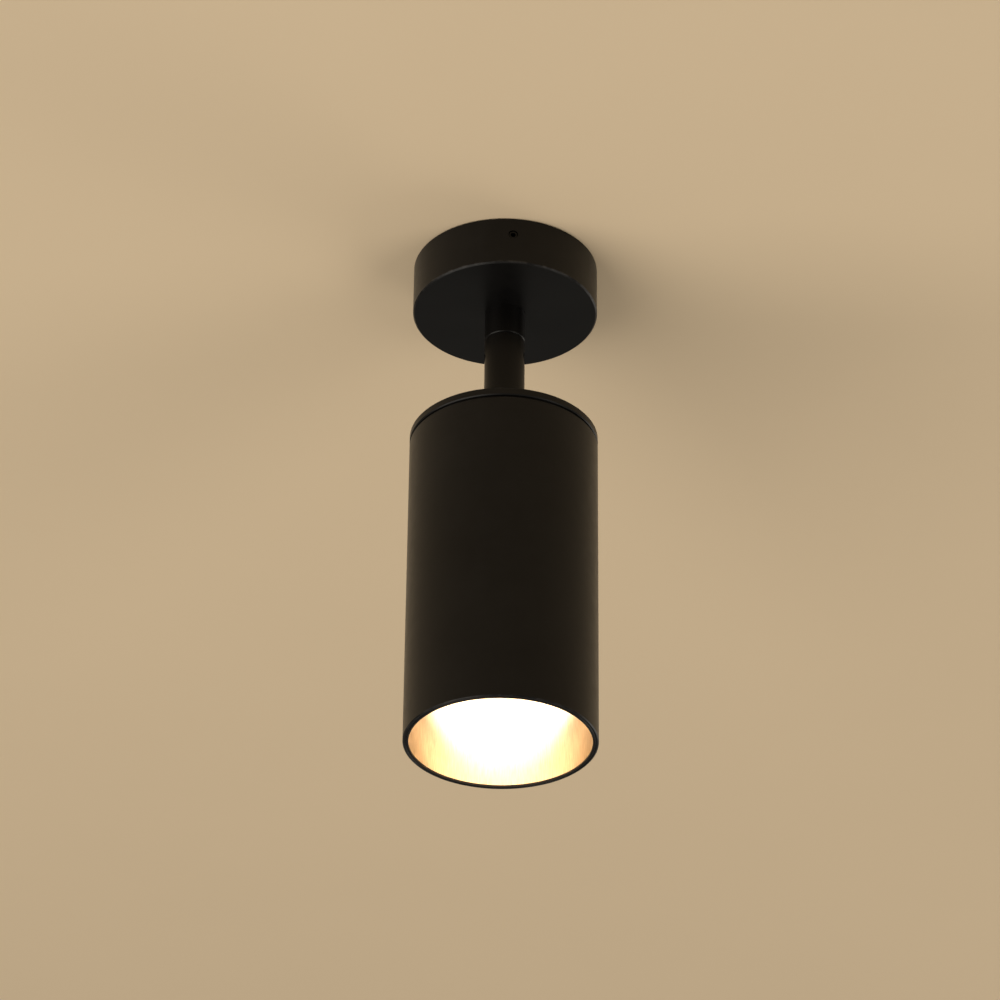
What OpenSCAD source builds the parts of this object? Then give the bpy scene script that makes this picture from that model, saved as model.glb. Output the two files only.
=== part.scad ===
// Ceiling spotlight: a round canopy, a knuckle stem that turns and tilts, and a tubular head
// with a twist-lock reflector lamp set back behind a bright sleeve.
// Millimetres, +Z up. z = 0 is the ceiling, on the centre line of the canopy.

/* [Canopy] */
// Outside diameter of the canopy
canopy_d = 59.8; // [56:0.1:80]
// Height of the canopy below the ceiling
canopy_h = 17.1; // [16.6:0.1:30]
// Thickness of the canopy's side wall
canopy_wall = 1.6; // [1.2:0.1:2.2]
// Thickness of the canopy's lower face
canopy_face = 1.6; // [1.2:0.1:2.0]
// Chamfer round the canopy's lower edge
canopy_chamfer = 0.5; // [0.2:0.1:0.9]
// Depth of the side screws below the ceiling
side_screw_drop = 6; // [5:0.1:8]

/* [Ceiling bracket] */
// Thickness of the bracket sheet
bracket_t = 1.5; // [1:0.1:1.8]
// Width of the bracket bar
bracket_w = 16; // [14:0.5:20]
// Width of the bent ears that take the side screws
bracket_ear_w = 10; // [7:0.5:12]
// Distance between the centres of the two ceiling screw slots
slot_pitch = 36; // [33:0.5:38]
// Length of each ceiling screw slot
slot_l = 9; // [7:0.5:9]
// Width of each ceiling screw slot
slot_w = 4.5; // [3.5:0.1:5.5]
// Width of the tab that carries the terminal block
tab_w = 13; // [11:0.5:14]
// Inside diameter of the supply cable bush
bush_d = 6.2; // [5:0.1:7]

/* [Terminal block] */
// Width of the terminal block, across its two poles
block_w = 14.6; // [14:0.1:16]
// Length of the terminal block, along its poles
block_l = 14; // [12:0.5:15]
// Height of the block's body, without the screw towers
block_h = 7.5; // [7:0.1:8]
// Distance between the two poles
pole_pitch = 7.5; // [7.2:0.1:8]

/* [Swivel] */
// Diameter of the collar and of the stem
stem_d = 13; // [12.4:0.1:15]
// Length of the collar below the canopy, down to the seam
collar_l = 10.5; // [10:0.1:14]
// Outside diameter of the hollow threaded nipple
nipple_d = 9.9; // [9:0.1:10.2]
// Bore of the nipple and of the stem, for the leads
lead_bore_d = 6.5; // [6.2:0.1:7]
// Thickness of the knuckle tongue
tongue_t = 4.4; // [3.8:0.1:4.8]
// Diameter of the pivot screw's shank
pivot_d = 3; // [2.5:0.1:3.2]
// Visible length from the canopy to the top of the head
stem_drop = 47.8; // [46:0.1:90]

/* [Head] */
// Outside diameter of the head
head_d = 60; // [60:0.1:80]
// Length of the head, end cap included
head_l = 110.4; // [102:0.1:160]
// Wall of the head's tube
tube_wall = 0.9; // [0.8:0.1:2]
// Thickness of the end cap's disc
cap_t = 2.6; // [2:0.1:4]
// Height of the shadow groove under the end cap
groove_h = 0.8; // [0.5:0.1:1.5]
// Small chamfer on the turned edges of the head
head_chamfer = 0.3; // [0.1:0.05:0.4]
// Radial width of the front ring's lip
lip_w = 0.85; // [0.7:0.05:1.5]
// Thickness of the front ring's lip
lip_t = 0.6; // [0.4:0.1:1.5]
// Height of the front ring
ring_h = 9; // [5:0.5:14]
// Thickness of the reflector sleeve's sheet
sleeve_t = 0.4; // [0.3:0.05:0.6]

/* [Lamp] */
// Diameter of the lamp's rim
lamp_d = 50; // [49:0.1:51]
// Length of the lamp without its pins
lamp_l = 45.5; // [44:0.5:50]
// Distance between the lamp's two pins
pin_pitch = 10; // [9.6:0.1:10.4]
// Diameter of a pin's head
pin_head_d = 4.8; // [4.4:0.1:5]
// Angle that the lamp turns between locked and free
twist = 45; // [40:1:50]

/* [Lamp holder] */
// Ceramic past the centre of each holder screw, at the ends of the holder
holder_end = 2.75; // [2.75:0.05:4]
// Width of the ceramic holder
holder_w = 20; // [18:0.5:24]
// Height of the ceramic holder
holder_h = 14; // [12.5:0.1:15]
// Distance between the holder's two screws
holder_pitch = 21.5; // [21:0.1:22]
// Drop from the end cap to the top of the holder
holder_drop = 11.5; // [11.2:0.1:16]

/* [Fits] */
// Radial clearance of the parts that turn in one another
run_gap = 0.07; // [0.03:0.01:0.1]
// Radial clearance between a screw and its tapped hole
thread_gap = 0.04; // [0.02:0.01:0.06]
// Radial clearance round a screw in a plain hole
hole_gap = 0.2; // [0.1:0.05:0.25]
// Radial clearance of the sleeves that slide into the head's tube
slide_gap = 0.05; // [0.03:0.01:0.1]
// Clearance between the ears of the bracket and the canopy's wall
ear_gap = 0.3; // [0.2:0.1:0.5]
// Height of the seam between the collar and the stem
seam_gap = 0.2; // [0.1:0.05:0.3]

/* [Hidden] */
$fn = 96;

black = [0.035, 0.033, 0.032];
steel = [0.62, 0.63, 0.64];
brass = [0.72, 0.56, 0.26];
bright = [0.83, 0.80, 0.74];
fibre = [0.75, 0.72, 0.62];
ceramic = [0.93, 0.91, 0.86];
lamp_white = [0.90, 0.89, 0.86];
brown = [0.35, 0.18, 0.08];
blue = [0.12, 0.28, 0.62];
green_yellow = [0.45, 0.62, 0.12];

// A cut runs this far past the surface that it opens
past = 1;

// Canopy
canopy_r = canopy_d / 2;
canopy_in_r = canopy_r - canopy_wall;
canopy_z = -canopy_h;
floor_z = canopy_z + canopy_face;
side_screw_r = 1.5;
side_screw_l = 5.5;
side_screw_sink = 0.35;
side_hex = 1.6;
side_hex_depth = 2;

// Ceiling bracket
bracket_r = canopy_in_r - ear_gap;
ear_y = sqrt(pow(bracket_r, 2) - pow(bracket_ear_w / 2, 2));
ear_past_screw = 3.2;
ear_h = side_screw_drop + ear_past_screw;
bar_step = 2;
tab_x = sqrt(pow(bracket_r, 2) - pow(tab_w / 2, 2));
bush_r = bush_d / 2;
bush_wall = 1.4;
bush_sleeve_r = bush_r + bush_wall;
bush_lip = 1.5;
bush_flange_r = bush_sleeve_r + bush_lip;
bush_flange_t = 1.2;
inner_slot_y = (slot_pitch - slot_l) / 2;

// Earth terminal, half way between the bush and the slot
earth_r = 1.9;
earth_head_r = 3;
earth_head_h = 2;
earth_cross_w = 0.8;
earth_cross_l = 3.6;
earth_cross_depth = 1.1;
earth_washer_t = 0.6;
earth_washer_r = earth_head_r + hole_gap;
earth_y = -(bush_flange_r + inner_slot_y) / 2;
earth_lead_d = 1.8;

// Terminal block
tab_past_block = 0.2;
block_x = tab_x - tab_past_block - block_w / 2;
block_top = -bracket_t;
block_corner = 1;
tower_h = 3;
tower_r = 2.7;
insert_r = 1.8;
insert_bore_r = 1.25;
insert_inset = 0.5;
insert_l = block_l - 2 * insert_inset;
pole_z = block_top - block_h / 2;
tower_y = block_l / 4;
tscrew_r = 1.2;
tscrew_sink = 0.7;
tscrew_slot_w = 0.5;
tscrew_slot_depth = 0.6;
fixing_r = 1.2;
fixing_head_r = 2.2;
fixing_head_h = 1.4;
fixing_slot_w = 0.6;
fixing_slot_depth = 0.7;
lead_d = 1.5;
lead_r = lead_d / 2;

// Swivel stack on the canopy's floor
nipple_r = nipple_d / 2;
lead_bore_r = lead_bore_d / 2;
tag_t = 0.6;
friction_t = 0.8;
stop_t = 1;
spring_t = 0.8;
nut_h = 3;
nut_flats = 14;
tag_z = floor_z;
friction_z = tag_z + tag_t;
stop_z = friction_z + friction_t;
spring_z = stop_z + stop_t;
nut_z = spring_z + spring_t;
nut_chamfer = 0.5;
nipple_past_nut = 0.9;
nipple_top = nut_z + nut_h + nipple_past_nut;
nipple_grip = 4;
nipple_bottom = canopy_z - nipple_grip;
washer_r = 8;
spring_r = 7.4;
spring_split_w = 0.8;
spring_split_angle = 40;
stop_reach = 12.6;
stop_tab_w = 1.4;
stop_pin_r = 0.75;
stop_pin_y = -(stop_reach - stop_pin_r);
stop_pin_sink = 0.9;
stop_pin_top = spring_z + 0.4;

// Earth tag: a ring, a strip to its crimp barrel, and the barrel
tag_strip_w = 4;
barrel_l = 4;
barrel_wall = 0.35;
barrel_r = earth_lead_d / 2 + barrel_wall;
barrel_x = -(stop_reach + 1.6);
barrel_z = tag_z + barrel_r;

// Knuckle. The pivot lies far enough under the collar for the stem's rounded back to pass it.
stem_r = stem_d / 2;
seam_z = canopy_z - collar_l;
knuckle_gap = 0.3;
pivot_z = seam_z - stem_r - knuckle_gap;
edge = 0.25;
tongue_r = 3.2;
tongue_gap = 0.15;
lead_channel = 1.8;
slot_front = tongue_r + lead_channel;
lead_slot_w = 3.6;
lead_y = -(tongue_r + lead_channel / 2);
lead_x = 0.9;
bore_lead_y = -1.6;
pocket_l = 4;
pocket_z = nipple_bottom - pocket_l;
pivot_washer_t = 0.4;
pivot_washer_r = 2.6;
pivot_washer_gap = 0.05;
knuckle_slot = tongue_t + 2 * (pivot_washer_t + pivot_washer_gap);
pivot_r = pivot_d / 2;
pivot_head_r = 2.7;
pivot_head_h = 1.6;
pivot_recess = 0.8;
pivot_head_x = stem_r - pivot_recess - pivot_head_h;
pivot_hex = 2;
pivot_hex_floor = 0.5;
knuckle_floor = 2;
bore_top = pivot_z - tongue_r - knuckle_floor;
channel_l = 6;
channel_end = bore_top - channel_l;

// Head, from the top down
head_top = canopy_z - stem_drop;
mouth_z = head_top - head_l;
head_r = head_d / 2;
tube_in_r = head_r - tube_wall;
tube_top = head_top - cap_t - groove_h;
groove_depth = 0.8;
neck_r = head_r - groove_depth;
skirt_l = 6;
skirt_t = 1.6;
plate_z = tube_top;
sheet_t = 1.2;
lock_t = 0.8;
lock_tooth_w = 1.2;
lock_tooth_l = 1;
arm_nut_h = 3.5;
lock_z = plate_z - sheet_t - lock_t;
arm_nut_z = lock_z - arm_nut_h;
stub_r = nipple_r;
stub_past_nut = 0.6;
stub_end = arm_nut_z - stub_past_nut;

// Lamp bracket and holder
holder_top = plate_z - holder_drop;
holder_z = holder_top - holder_h;
holder_l = holder_pitch + 2 * holder_end;
holder_corner = 3;
bracket_leg_gap = 0.3;
bracket_leg_x = holder_l / 2 + bracket_leg_gap + sheet_t;
bracket_strip = 14;
foot_past_screw = 2.55;
foot_in = holder_pitch / 2 - foot_past_screw;
holder_screw_r = 1.45;
holder_head_r = 2.7;
holder_head_h = 1.9;
holder_head_sink = 0.3;
holder_cross_w = 0.7;
holder_cross_l = 3.2;
holder_cross_depth = 1;
pin_r = pin_pitch / 2;
pin_neck_r = 1.5;
pin_head_r = pin_head_d / 2;
pin_play = 0.4;
socket_plate = 3;
socket_h = 6;
pin_head_h = 2.4;
base_gap = 0.5;
pin_lift = 0.3;
pin_neck_l = base_gap + socket_plate + pin_lift;
locked = 90 + twist / 2;
contact_w = 3;
contact_t = 0.5;
contact_gap = 0.1;
contact_z = holder_z - base_gap + pin_neck_l + pin_head_h + contact_gap;
contact_r = 0.8;

// Lamp
lamp_top = holder_z - base_gap;
lamp_face = lamp_top - lamp_l;
base_r = 10;
base_h = 12;
base_chamfer = 1.5;
lamp_wall = 1.4;
lamp_r = lamp_d / 2;
rim_h = 3.5;
lens_t = 1.8;
lens_sink = 0.8;
lens_seat_w = 1;
lens_r = lamp_r - lamp_wall - slide_gap;
flare_h = lamp_l - base_h - rim_h;
board_r = 16;
board_t = 1.2;
board_rise = 10;
board_z = lamp_face + rim_h + board_rise;
chip = 2.8;
chip_t = 0.7;
chip_ring = 8;

// Front
sleeve_in_r = tube_in_r - slide_gap - lip_w;
sleeve_r = sleeve_in_r + sleeve_t;
ring_r = tube_in_r - slide_gap;
sleeve_bottom = mouth_z + lip_t;
sleeve_gap = 0.6;
sleeve_top = lamp_face - sleeve_gap;
sleeve_lap = 2;
sleeve_hole_r = lamp_r - sleeve_lap;

// Turns what follows from upright to lying along X, at a point
module along_x(x, y, z) {
    translate([x, y, z]) rotate([0, 90, 0]) children();
}

// Turns what follows from upright to lying along Y, at a point
module along_y(x, y, z) {
    translate([x, y, z]) rotate([-90, 0, 0]) children();
}

// A ring standing on z = 0
module ring(r, bore, h) {
    difference() {
        cylinder(r = r, h = h);
        translate([0, 0, -past]) cylinder(r = bore, h = h + 2 * past);
    }
}

// An upright round hole right through a plate between two heights
module hole(x, y, low, high, r) {
    translate([x, y, low - past]) cylinder(r = r, h = high - low + 2 * past);
}

// A box standing on a point
module block_at(x, y, z, w, l, h) {
    translate([x - w / 2, y - l / 2, z]) cube([w, l, h]);
}

// An upright slot with round ends, along Y and centred on x = 0
module slot_cut(y, w, l, z, h) {
    block_at(0, y, z, w, l - w, h);
    for (side = [-1, 1]) translate([0, y + side * (l - w) / 2, z]) cylinder(d = w, h = h);
}

// An upright block with rounded corners
module rounded_block(w, l, h, r) {
    block_at(0, 0, 0, w - 2 * r, l, h);
    block_at(0, 0, 0, w, l - 2 * r, h);
    for (x = [-1, 1], y = [-1, 1]) translate([x * (w / 2 - r), y * (l / 2 - r), 0]) cylinder(r = r, h = h);
}

// A hexagonal nut standing on z = 0
module nut(flats, bore, h) {
    difference() {
        intersection() {
            cylinder(d = flats / cos(30), h = h, $fn = 6);
            rotate_extrude() polygon([
                [0, 0], [flats / 2, 0], [flats / cos(30) / 2, nut_chamfer],
                [flats / cos(30) / 2, h - nut_chamfer], [flats / 2, h], [0, h]
            ]);
        }
        translate([0, 0, -past]) cylinder(r = bore, h = h + 2 * past);
    }
}

function unit(v) = v / norm(v);

// Point a share t of the way from b to c, on the smooth curve through a, b, c and d
function spline(a, b, c, d, t) =
    0.5 * (2 * b + (c - a) * t + (2 * a - 5 * b + 4 * c - d) * t * t + (3 * b - a - 3 * c + d) * t * t * t);

// The smooth curve through a list of points, in equal steps from each point to the next
function smooth(p, steps) = concat(
    [for (i = [0 : len(p) - 2], k = [0 : steps - 1])
        spline(p[max(i - 1, 0)], p[i], p[i + 1], p[min(i + 2, len(p) - 1)], k / steps)],
    [p[len(p) - 1]]
);

// Direction of a path at its point i
function heading(p, i) = unit(p[min(i + 1, len(p) - 1)] - p[max(i - 1, 0)]);

// Part of a direction that lies square to another
function square_to(u, along) = unit(u - (u * along) * along);

// An insulated lead, square at both ends, along the smooth curve through a list of points
module lead(route, d) {
    path = smooth(route, 3);
    n = len(path);
    way = [for (i = [0 : n - 1])
        i == 0 ? unit(route[1] - route[0]) : i == n - 1 ? unit(route[len(route) - 1] - route[len(route) - 2])
        : heading(path, i)];
    across = [for (i = 0, u = square_to([1, 0.2, 0.1], way[0]); i < n;
        i = i + 1, u = i < n ? square_to(u, way[i]) : u) u];
    sides = 8;
    last = n * sides - 1;
    rings = [for (i = [0 : n - 1], k = [0 : sides - 1])
        let (a = 360 * k / sides) path[i] + d / 2 * (cos(a) * across[i] + sin(a) * cross(way[i], across[i]))];
    wall = [for (i = [0 : n - 2], k = [0 : sides - 1])
        let (a = i * sides + k, b = i * sides + (k + 1) % sides)
            each [[a, a + sides, b], [b, a + sides, b + sides]]];
    ends = [for (k = [1 : sides - 2]) each [[0, k, k + 1], [last, last - k, last - k - 1]]];
    polyhedron(points = rings, faces = concat(wall, ends), convexity = 6);
}

// Where the lamp's two pins stand, at an angle about the centre line
module at_pins(angle) {
    for (half = [0, 180]) rotate([0, 0, angle + half]) translate([pin_r, 0, 0]) children();
}

module canopy_cover() {
    color(black) difference() {
        rotate_extrude() polygon([
            [0, canopy_z], [canopy_r - canopy_chamfer, canopy_z], [canopy_r, canopy_z + canopy_chamfer],
            [canopy_r, 0], [canopy_in_r, 0], [canopy_in_r, floor_z], [0, floor_z]
        ]);
        hole(0, 0, canopy_z, floor_z, nipple_r + run_gap);
        along_y(0, -canopy_r - past, -side_screw_drop)
            cylinder(r = side_screw_r + thread_gap, h = canopy_d + 2 * past);
        translate([0, stop_pin_y, floor_z - stop_pin_sink])
            cylinder(r = stop_pin_r + thread_gap, h = stop_pin_sink + past);
    }
}

// Bar along Y with a bent ear at each end, and a tab along +X for the terminal block
module mounting_bracket() {
    color(steel) difference() {
        union() {
            block_at(0, 0, -bracket_t, bracket_w, 2 * (ear_y - bar_step), bracket_t);
            block_at(0, 0, -bracket_t, bracket_ear_w, 2 * ear_y, bracket_t);
            block_at(tab_x / 2, 0, -bracket_t, tab_x, tab_w, bracket_t);
            for (side = [-1, 1])
                block_at(0, side * (ear_y - bracket_t / 2), -ear_h, bracket_ear_w, bracket_t, ear_h);
        }
        for (side = [-1, 1])
            slot_cut(side * slot_pitch / 2, slot_w, slot_l, -bracket_t - past, bracket_t + 2 * past);
        along_y(0, -ear_y - past, -side_screw_drop)
            cylinder(r = side_screw_r + hole_gap, h = 2 * (ear_y + past));
        hole(0, 0, -bracket_t, 0, bush_sleeve_r + thread_gap);
        hole(0, earth_y, -bracket_t, 0, earth_r + thread_gap);
        hole(block_x, 0, -bracket_t, 0, fixing_r + thread_gap);
    }
}

// Two headless screws with a hexagon socket, through the canopy's wall into the bracket's ears
module canopy_screws() {
    color(black) for (side = [0, 180]) rotate([0, 0, side])
        along_y(0, -canopy_r + side_screw_sink, -side_screw_drop) difference() {
            rotate_extrude() polygon([
                [0, 0], [side_screw_r - edge, 0], [side_screw_r, edge],
                [side_screw_r, side_screw_l - 2 * edge], [side_screw_r - 2 * edge, side_screw_l],
                [0, side_screw_l]
            ]);
            translate([0, 0, -past]) cylinder(d = side_hex / cos(30), h = side_hex_depth + past, $fn = 6);
        }
}

// Flanged plastic bush that the supply cable comes through
module cable_bush() {
    color([0.1, 0.1, 0.1]) difference() {
        union() {
            translate([0, 0, -bracket_t]) cylinder(r = bush_sleeve_r, h = bracket_t);
            translate([0, 0, -bracket_t - bush_flange_t]) cylinder(r = bush_flange_r, h = bush_flange_t);
        }
        hole(0, 0, -bracket_t - bush_flange_t, 0, bush_r);
    }
}

module at_poles() {
    for (side = [-1, 1]) translate([block_x + side * pole_pitch / 2, 0, pole_z]) children();
}

module pole_bar(r, l) {
    along_y(0, 0, 0) cylinder(r = r, h = l, center = true);
}

module at_towers() {
    at_poles() for (end = [-1, 1]) translate([0, end * tower_y, 0]) children();
}

// Two-pole connector that hangs under the bracket's tab, screws facing down
module terminal_block() {
    tower_z = block_top - block_h - tower_h - pole_z;
    color([0.87, 0.87, 0.83]) difference() {
        union() {
            translate([block_x, 0, block_top - block_h])
                rounded_block(block_w, block_l, block_h, block_corner);
            at_towers() translate([0, 0, tower_z]) cylinder(r = tower_r, h = -tower_z);
        }
        at_poles() pole_bar(insert_r + thread_gap, block_l + 2 * past);
        at_towers() translate([0, 0, tower_z - past]) cylinder(r = tscrew_r + hole_gap, h = past - tower_z);
        hole(block_x, 0, block_top - block_h, block_top, fixing_r + hole_gap);
    }
}

module terminal_inserts() {
    color(brass) difference() {
        at_poles() pole_bar(insert_r, insert_l);
        at_poles() pole_bar(insert_bore_r, insert_l + 2 * past);
        at_towers() translate([0, 0, -insert_r - past])
            cylinder(r = tscrew_r + thread_gap, h = insert_r + past);
    }
}

module terminal_screws() {
    tip = -lead_r - thread_gap;
    foot = block_top - block_h - tower_h + tscrew_sink - pole_z;
    color(steel) difference() {
        at_towers() translate([0, 0, foot]) cylinder(r = tscrew_r, h = tip - foot);
        at_towers()
            block_at(0, 0, foot - past, tscrew_slot_w, 2 * tscrew_r + past, past + tscrew_slot_depth);
    }
}

module terminal_fixing_screw() {
    head_z = block_top - block_h - fixing_head_h;
    color(steel) translate([block_x, 0, head_z]) difference() {
        union() {
            cylinder(r = fixing_head_r, h = fixing_head_h);
            cylinder(r = fixing_r, h = -head_z);
        }
        block_at(0, 0, -past, fixing_slot_w, 2 * fixing_head_r + past, past + fixing_slot_depth);
    }
}

module earth_screw() {
    head_z = -bracket_t - earth_washer_t - earth_head_h;
    color(brass) translate([0, earth_y, head_z]) difference() {
        union() {
            cylinder(r = earth_head_r, h = earth_head_h);
            cylinder(r = earth_r, h = -head_z);
        }
        for (turn = [0, 90]) rotate([0, 0, turn])
            block_at(0, 0, -past, earth_cross_w, earth_cross_l, past + earth_cross_depth);
    }
}

module earth_washer() {
    color(brass) translate([0, earth_y, -bracket_t - earth_washer_t])
        ring(earth_washer_r, earth_r + thread_gap, earth_washer_t);
}

// Ring tag on the canopy's floor, with a crimp barrel for the earth lead
module earth_tag() {
    color(steel) difference() {
        union() {
            translate([0, 0, tag_z]) cylinder(r = washer_r, h = tag_t);
            block_at((barrel_x - barrel_l / 2) / 2, 0, tag_z, barrel_l / 2 - barrel_x, tag_strip_w, tag_t);
            along_x(barrel_x - barrel_l, 0, barrel_z) cylinder(r = barrel_r, h = barrel_l);
        }
        hole(0, 0, tag_z, tag_z + tag_t, nipple_r + hole_gap);
        along_x(barrel_x - barrel_l - past, 0, barrel_z)
            cylinder(r = earth_lead_d / 2 + thread_gap, h = 3 / 4 * barrel_l + past);
    }
}

// From under the earth screw's washer, round the stack, to the crimp barrel
module earth_lead() {
    start_x = -earth_head_r;
    start_z = -bracket_t - earth_washer_t - earth_lead_d / 2;
    end_x = barrel_x - barrel_l;
    color(green_yellow) lead([
        [start_x - 0.3, earth_y, start_z],
        [start_x - 4, earth_y, start_z - 1],
        [start_x - 8.5, earth_y, start_z - 4],
        [start_x - 12.5, earth_y + 2, -canopy_h / 2],
        [end_x - 2.5, earth_y + 4.5, barrel_z + 3],
        [end_x - 3.2, earth_y + 7, barrel_z + 1],
        [end_x - 2.4, 0.4, barrel_z],
        [end_x - 1, 0, barrel_z],
        [end_x, 0, barrel_z],
        [end_x + 2.5, 0, barrel_z]
    ], earth_lead_d);
}

// From each pole, round the stack, down to the top of the nipple
module live_lead_canopy() {
    pole_x = block_x - pole_pitch / 2;
    block_end = -block_l / 2;
    color(brown) lead([
        [pole_x, -1, pole_z],
        [pole_x, block_end - 2, pole_z],
        [pole_x - 1.5, block_end - 4.5, pole_z - 0.3],
        [pole_x - 5, block_end - 5, pole_z - 0.6],
        [lead_x + 3, -6.6, nipple_top + 2.2],
        [lead_x + 0.6, -3, nipple_top + 2.2],
        [lead_x, bore_lead_y, nipple_top + 1.4],
        [lead_x, bore_lead_y, nipple_top]
    ], lead_d);
}

module neutral_lead_canopy() {
    pole_x = block_x + pole_pitch / 2;
    block_end = -block_l / 2;
    color(blue) lead([
        [pole_x, -1, pole_z],
        [pole_x, block_end - 1.5, pole_z],
        [pole_x - 2, block_end - 5, pole_z - 0.8],
        [pole_x - 7, block_end - 7.8, pole_z - 1.6],
        [lead_x + 4, block_end - 5, nipple_top + 1.2],
        [0.4 - lead_x, -8.5, nipple_top + 1.6],
        [-lead_x, -4.5, nipple_top + 2.2],
        [-lead_x, bore_lead_y, nipple_top + 1.6],
        [-lead_x, bore_lead_y, nipple_top]
    ], lead_d);
}

// Pin in the canopy's floor that the stop washer's tab meets
module stop_pin() {
    color(steel) translate([0, stop_pin_y, floor_z - stop_pin_sink])
        cylinder(r = stop_pin_r, h = stop_pin_top - floor_z + stop_pin_sink);
}

// Turned collar with the knuckle's tongue under it
module swivel_collar() {
    color(black) difference() {
        union() {
            rotate_extrude() polygon([
                [0, seam_z], [stem_r - edge, seam_z], [stem_r, seam_z + edge],
                [stem_r, canopy_z], [0, canopy_z]
            ]);
            block_at(0, 0, pivot_z, tongue_t, 2 * tongue_r, seam_z - pivot_z + past);
            along_x(0, 0, pivot_z) cylinder(r = tongue_r, h = tongue_t, center = true);
        }
        translate([0, 0, pocket_z]) cylinder(r = nipple_r + thread_gap, h = canopy_z - pocket_z + past);
        block_at(0, lead_y, seam_z - past, lead_slot_w, lead_channel, pocket_z - seam_z + 2 * past);
        along_x(0, 0, pivot_z) cylinder(r = pivot_r + run_gap, h = stem_d, center = true);
    }
}

module hollow_nipple() {
    color(steel) translate([0, 0, nipple_bottom]) ring(nipple_r, lead_bore_r, nipple_top - nipple_bottom);
}

module friction_washer() {
    color(fibre) translate([0, 0, friction_z]) ring(washer_r, nipple_r + hole_gap, friction_t);
}

// Washer with a tab that points to +Y at rest and turns with the nipple
module stop_washer() {
    color(steel) translate([0, 0, stop_z]) difference() {
        union() {
            cylinder(r = washer_r, h = stop_t);
            block_at(0, stop_reach / 2, 0, stop_tab_w, stop_reach, stop_t);
        }
        translate([0, 0, -past]) cylinder(r = nipple_r + thread_gap, h = stop_t + 2 * past);
    }
}

// Split spring washer
module spring_washer() {
    color(steel) translate([0, 0, spring_z]) difference() {
        ring(spring_r, nipple_r + hole_gap, spring_t);
        rotate([0, 0, spring_split_angle])
            block_at(spring_r, 0, -past, 2 * spring_r, spring_split_w, spring_t + 2 * past);
    }
}

module nipple_nut() {
    color(brass) translate([0, 0, nut_z]) nut(nut_flats, nipple_r + thread_gap, nut_h);
}

// Each lead's stretch from the top of the nipple down to the seam
module swivel_lead(x) {
    lead([
        [x, bore_lead_y, nipple_top],
        [x, bore_lead_y, nipple_bottom + 1.4],
        [x, lead_y + 0.1, pocket_z + 0.6],
        [x, lead_y, pocket_z - 0.6],
        [x, lead_y, seam_z]
    ], lead_d);
}

module live_lead_swivel() {
    color(brown) swivel_lead(lead_x);
}

module neutral_lead_swivel() {
    color(blue) swivel_lead(-lead_x);
}

// Space that the tongue sweeps inside the stem as the head tilts
module knuckle_cut() {
    block_at(0, (stem_d - slot_front) / 2, pivot_z, knuckle_slot, stem_d + slot_front, stem_d);
    block_at(0, stem_d / 2, pivot_z - tongue_r - tongue_gap, knuckle_slot, stem_d, stem_d);
    along_x(0, 0, pivot_z) cylinder(r = tongue_r + tongue_gap, h = knuckle_slot, center = true);
}

// Stem, full round in front and rounded over behind, with a threaded stub for the head
module stem_arm() {
    arm_top = seam_z - seam_gap;
    color(black) difference() {
        union() {
            difference() {
                translate([0, 0, head_top]) cylinder(r = stem_r, h = pivot_z - head_top);
                translate([0, 0, head_top]) ring(stem_r + past, stem_r - edge, edge);
            }
            intersection() {
                rotate_extrude() polygon([
                    [0, pivot_z], [stem_r, pivot_z], [stem_r, arm_top - edge],
                    [stem_r - edge, arm_top], [0, arm_top]
                ]);
                union() {
                    block_at(0, -stem_r, pivot_z, stem_d, stem_d, stem_d);
                    along_x(0, 0, pivot_z) cylinder(r = stem_r, h = stem_d, center = true);
                }
            }
            translate([0, 0, stub_end]) cylinder(r = stub_r, h = head_top - stub_end + past);
        }
        knuckle_cut();
        translate([0, 0, stub_end - past]) cylinder(r = lead_bore_r, h = bore_top - stub_end + past);
        block_at(0, lead_y, bore_top - past, lead_slot_w, lead_channel, pivot_z - bore_top + 2 * past);
        block_at(0, -slot_front / 2, channel_end, lead_slot_w, slot_front, bore_top - channel_end);
        along_x(-stem_d, 0, pivot_z) cylinder(r = pivot_r + thread_gap, h = 2 * stem_d);
        along_x(pivot_head_x, 0, pivot_z) cylinder(r = pivot_head_r + hole_gap, h = stem_d);
    }
}

// Socket-head screw along X that the head tilts on
module pivot_screw() {
    tip_x = -stem_r + pivot_recess;
    color(steel) difference() {
        union() {
            along_x(pivot_head_x, 0, pivot_z) cylinder(r = pivot_head_r, h = pivot_head_h);
            along_x(tip_x, 0, pivot_z) cylinder(r = pivot_r, h = pivot_head_x - tip_x);
        }
        along_x(pivot_head_x + pivot_hex_floor, 0, pivot_z)
            cylinder(d = pivot_hex / cos(30), h = stem_d, $fn = 6);
    }
}

module pivot_washers() {
    color(fibre) for (side = [0, 180]) rotate([0, 0, side])
        along_x(knuckle_slot / 2 - pivot_washer_t, 0, pivot_z)
            ring(pivot_washer_r, pivot_r + thread_gap, pivot_washer_t);
}

// Lid of the head: disc, shadow groove and a skirt that screws into the tube
module end_cap() {
    disc_z = head_top - cap_t;
    skirt_r = tube_in_r - slide_gap;
    skirt_z = tube_top - skirt_l;
    color(black) difference() {
        rotate_extrude() polygon([
            [0, head_top], [head_r - head_chamfer, head_top], [head_r, head_top - head_chamfer],
            [head_r, disc_z + head_chamfer], [head_r - head_chamfer, disc_z], [neck_r, disc_z],
            [neck_r, tube_top], [skirt_r, tube_top], [skirt_r, skirt_z], [skirt_r - skirt_t, skirt_z],
            [skirt_r - skirt_t, plate_z], [0, plate_z]
        ]);
        hole(0, 0, plate_z, head_top, stub_r + hole_gap);
    }
}

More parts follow.
